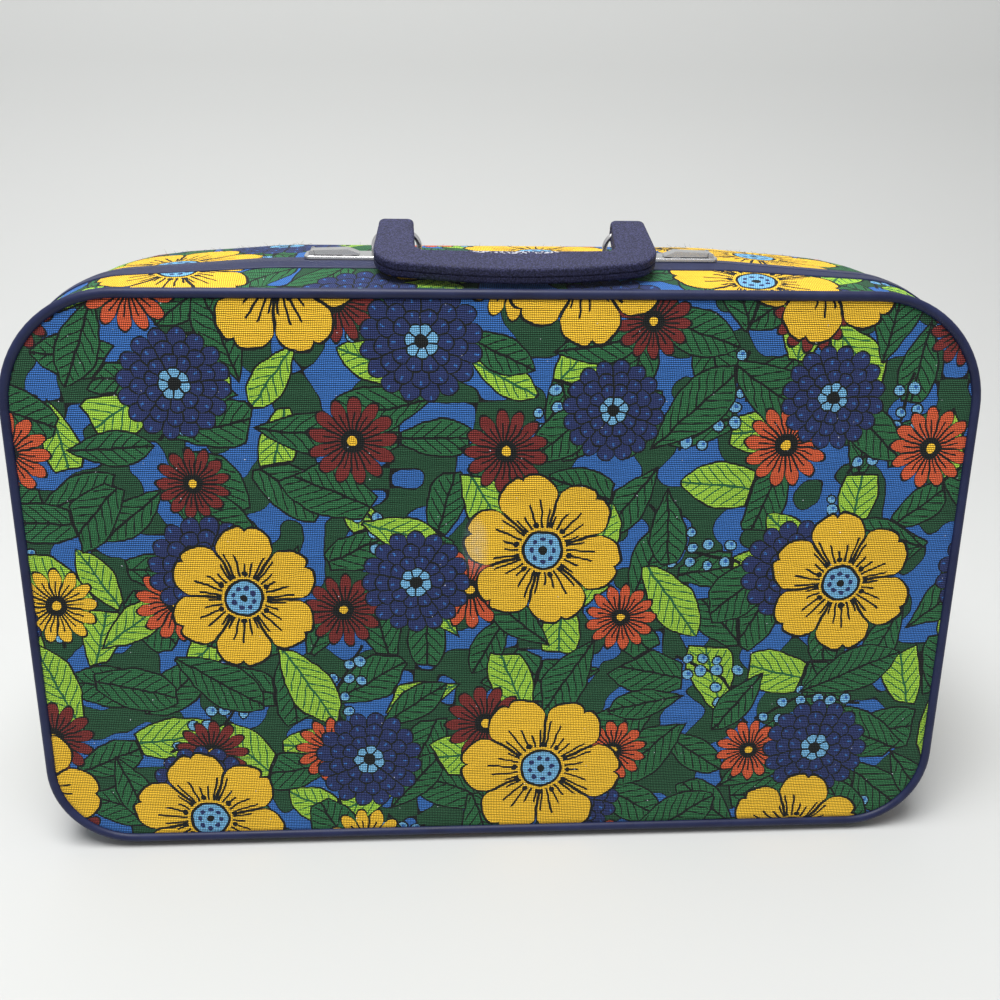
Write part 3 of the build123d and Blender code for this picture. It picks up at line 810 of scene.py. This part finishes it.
def plain_cloth(name, colour):
    """Plain fine lining cloth."""
    made, tree, shader = material(name, colour, 0.85)
    weave = node(tree, "ShaderNodeTexWave", Scale=900.0, Distortion=0.4)
    cloud = node(tree, "ShaderNodeTexNoise", Scale=30.0, Detail=5.0)
    on_piece(tree, weave, cloud)
    darker = tuple(c * 0.8 for c in colour[:3]) + (1.0,)
    tree.links.new(mixed(tree, cloud.outputs["Fac"], darker, colour), shader.inputs["Base Color"])
    bumpy(tree, shader, weave.outputs["Fac"], strength=0.2, distance=0.0002)
    return made


def fibreboard():
    """Brown pressed board with a mottled surface."""
    colour, darker = linear((150, 116, 82)), linear((118, 88, 58))
    made, tree, shader = material("fibreboard", colour, 0.85)
    cloud = node(tree, "ShaderNodeTexNoise", Scale=400.0, Detail=6.0, Roughness=0.7)
    on_piece(tree, cloud)
    tree.links.new(mixed(tree, cloud.outputs["Fac"], darker, colour), shader.inputs["Base Color"])
    return made


def thread_look():
    """Loose thread ends, tinted like the print where they came from."""
    made, tree, shader = material("loose_thread", linear((150, 150, 90)), 0.9)
    cloud = node(tree, "ShaderNodeTexNoise", Scale=55.0, Detail=3.0)
    on_piece(tree, cloud)
    green, straw, navy = linear((34, 70, 58)), linear((122, 112, 58)), linear((34, 44, 82))
    straw_from, navy_to = 0.5, 0.46
    share = Term(tree, cloud.outputs["Fac"])
    tint = mixed(tree, share > straw_from, green, straw)
    tint = mixed(tree, share < navy_to, tint, navy)
    tree.links.new(tint, shader.inputs["Base Color"])
    return made


canvas = printed_canvas()
trim_vinyl = vinyl("navy_vinyl", linear((21, 27, 60)), linear((34, 42, 78)), grain=900.0)
handle_vinyl = grained_vinyl("handle_vinyl", linear((19, 20, 45)), linear((68, 70, 112)))
steel = plated()
lining = plain_cloth("lining_cloth", linear((190, 192, 196)))
board = fibreboard()
rubber = vinyl("foot_plastic", linear((30, 30, 33)), linear((42, 42, 46)), grain=1500.0)

# Printed cloth on the four covered surfaces
cloths = []
for half, start in CUT_FROM.items():
    cloths.append(panel_cloth(half, start))
    cloths.append(wall_cloth(half, start + WALL_CUT))
for piece in cloths:
    piece.data.materials.append(canvas)
    half, kind = piece.name.split("_")[:2]

# Loose threads where the body's cloth has frayed along its back edge, in millimetres
FRAY_COUNT = 300
FRAY_SEED = 7
FRAY_RADIUS = 0.07
FRAY_TAPER = 0.6
FRAY_CURL = 0.4
FRAY_STEPS, FRAY_SIDES = 3, 3
FRAY_LENGTHS = (0.7, 0.9, 1.2, 1.5, 2.6)
FRAY_ROOTS = (0.8, 0.97)  # shares of the body's depth
FRAY_ABOVE = BASE_Z + PANEL_RISE * 0.84


def thread_end(root, aim, curl, reach, points, faces):
    """Adds a thin, tapering, curled thread end."""
    side = aim.cross(Vector((0.3, 0.9, 0.2))).normalized()
    other = aim.cross(side)
    start = len(points)
    for k in range(FRAY_STEPS + 1):
        t = k / FRAY_STEPS
        middle = root + aim * (reach * t) + curl * (reach * t * t * FRAY_CURL)
        thin = FRAY_RADIUS * (1 - FRAY_TAPER * t)
        for turn in range(FRAY_SIDES):
            angle = 2 * math.pi * turn / FRAY_SIDES
            spoke = side * math.cos(angle) + other * math.sin(angle)
            points.append(tuple((middle + spoke * thin) * MM))
    for k in range(FRAY_STEPS):
        for turn in range(FRAY_SIDES):
            low = start + FRAY_SIDES * k + turn
            high = start + FRAY_SIDES * k + (turn + 1) % FRAY_SIDES
            faces.append((low, high, high + FRAY_SIDES, low + FRAY_SIDES))
    faces.append(tuple(reversed(range(start, start + FRAY_SIDES))))
    faces.append(tuple(range(len(points) - FRAY_SIDES, len(points))))


fray_rng = random.Random(FRAY_SEED)
fray_points, fray_faces = [], []
fray_shares, fray_sections = wall_sections("body", CLOTH_OUT)
fray_columns = [column for column in zip(*fray_sections) if column[0].z > FRAY_ABOVE]
for _ in range(FRAY_COUNT):
    spot = fray_rng.randrange(len(fray_columns) - 1)
    slide = fray_rng.random()
    column = [a.lerp(b, slide) for a, b in zip(fray_columns[spot], fray_columns[spot + 1])]
    root = between(fray_shares, column, fray_rng.uniform(*FRAY_ROOTS))
    aim = Vector((fray_rng.gauss(0, 0.8), fray_rng.gauss(0.25, 0.5), fray_rng.uniform(0.25, 1.0)))
    aim.normalize()
    curl = Vector((fray_rng.gauss(0, 0.7), fray_rng.gauss(0, 0.5), fray_rng.gauss(-0.2, 0.4)))
    reach = fray_rng.choice(FRAY_LENGTHS) * fray_rng.uniform(0.7, 1.2)
    thread_end(root, aim, curl, reach, fray_points, fray_faces)
fray_mesh = bpy.data.meshes.new("frayed_threads")
fray_mesh.from_pydata(fray_points, [], fray_faces)
frayed = bpy.data.objects.new("frayed_threads", fray_mesh)
bpy.context.scene.collection.objects.link(frayed)
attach(frayed, "body")
fray_mesh.materials.append(thread_look())

# Materials on the CAD pieces, by the ends of their names; all else is plated
LOOKS = {
    "_board": board,
    "_piping": trim_vinyl,
    "_rim_binding": trim_vinyl,
    "handle": handle_vinyl,
    "_lining": lining,
    "_rim_strip": lining,
    "_feet": rubber,
    "_cloth": canvas,
}
for name, piece in nodes.items():
    look = next((made for ending, made in LOOKS.items() if name.endswith(ending)), steel)
    piece.data.materials.clear()
    piece.data.materials.append(look)

# Floor and backdrop: one pale sweep, in metres
SWEEP_FRONT, SWEEP_BACK = -1.6, 0.75
SWEEP_HALF_WIDE, SWEEP_HIGH = 3.0, 2.2
SWEEP_ROUND, SWEEP_STEPS = 0.35, 12
profile = [(SWEEP_FRONT, 0.0)]
for i in range(SWEEP_STEPS + 1):
    a = math.radians(90 * i / SWEEP_STEPS)
    profile.append(
        (SWEEP_BACK - SWEEP_ROUND + SWEEP_ROUND * math.sin(a), SWEEP_ROUND * (1 - math.cos(a)))
    )
profile.append((SWEEP_BACK, SWEEP_HIGH))
sweep_points = [(x, y, z) for y, z in profile for x in (-SWEEP_HALF_WIDE, SWEEP_HALF_WIDE)]
sweep_faces = [(2 * i, 2 * i + 1, 2 * i + 3, 2 * i + 2) for i in range(len(profile) - 1)]
sweep_mesh = bpy.data.meshes.new("sweep")
sweep_mesh.from_pydata(sweep_points, [], sweep_faces)
sweep_mesh.polygons.foreach_set("use_smooth", [True] * len(sweep_mesh.polygons))
sweep = bpy.data.objects.new("sweep", sweep_mesh)
bpy.context.scene.collection.objects.link(sweep)
paper, _, _ = material("pale_paper", linear((198, 199, 198)), 0.95)
sweep_mesh.materials.append(paper)

# Light: a big soft lamp above in front, a weaker one above and behind, and the sky's fill,
# which is paler where it is seen or mirrored than as a light
SKY_LIGHT = 0.32
SKY_PALER = 0.36
world = bpy.data.worlds.new("studio")
bpy.context.scene.world = world
world.use_nodes = True
sky = world.node_tree.nodes["Background"]
sky.inputs["Color"].default_value = (1, 1, 1, 1)
ray = node(world.node_tree, "ShaderNodeLightPath")
seen = Term(world.node_tree, ray.outputs["Is Camera Ray"])
for kind in ("Is Glossy Ray", "Is Transmission Ray"):
    seen = seen | Term(world.node_tree, ray.outputs[kind])
world.node_tree.links.new((seen * SKY_PALER + SKY_LIGHT).socket, sky.inputs["Strength"])


def soft_lamp(name, place, aim, size, power):
    """A square area lamp turned to a point."""
    data = bpy.data.lights.new(name, "AREA")
    data.size = size
    data.energy = power
    lamp = bpy.data.objects.new(name, data)
    bpy.context.scene.collection.objects.link(lamp)
    lamp.location = place
    lamp.rotation_euler = (Vector(aim) - Vector(place)).to_track_quat("-Z", "Y").to_euler()


soft_lamp("key", place=(-0.22, -0.45, 1.8), aim=(0, 0, 0.15), size=0.9, power=37.0)
soft_lamp("back", place=(-0.2, 0.15, 1.9), aim=(0, 0.2, 0.1), size=1.2, power=10.0)

# Camera fitted to the photograph, whose frame is a 1000 by 1000 image
FRAME_PX = 1000.0
FOCAL_PX = 1016.3
CAMERA_MM = (-27.5, -489.4, 366.2)
CAMERA_YAW, CAMERA_PITCH, CAMERA_ROLL = (math.radians(a) for a in (3.58, 23.92, 1.08))
SENSOR = 36.0
yaw_sin, yaw_cos = math.sin(CAMERA_YAW), math.cos(CAMERA_YAW)
forward = Vector(
    (
        yaw_sin * math.cos(CAMERA_PITCH),
        yaw_cos * math.cos(CAMERA_PITCH),
        -math.sin(CAMERA_PITCH),
    )
)
level = Vector((yaw_cos, -yaw_sin, 0.0))
upright = level.cross(forward)
right = level * math.cos(CAMERA_ROLL) + upright * math.sin(CAMERA_ROLL)
up = upright * math.cos(CAMERA_ROLL) - level * math.sin(CAMERA_ROLL)
camera_data = bpy.data.cameras.new("camera")
camera_data.sensor_width = SENSOR
camera_data.lens = FOCAL_PX / FRAME_PX * SENSOR
camera_data.clip_start = 0.01
camera = bpy.data.objects.new("camera", camera_data)
bpy.context.scene.collection.objects.link(camera)
turn = Matrix((right, up, -forward)).transposed().to_4x4()
camera.matrix_world = Matrix.Translation(Vector(CAMERA_MM) * MM) @ turn
bpy.context.scene.camera = camera
bpy.context.scene.view_settings.view_transform = "Standard"
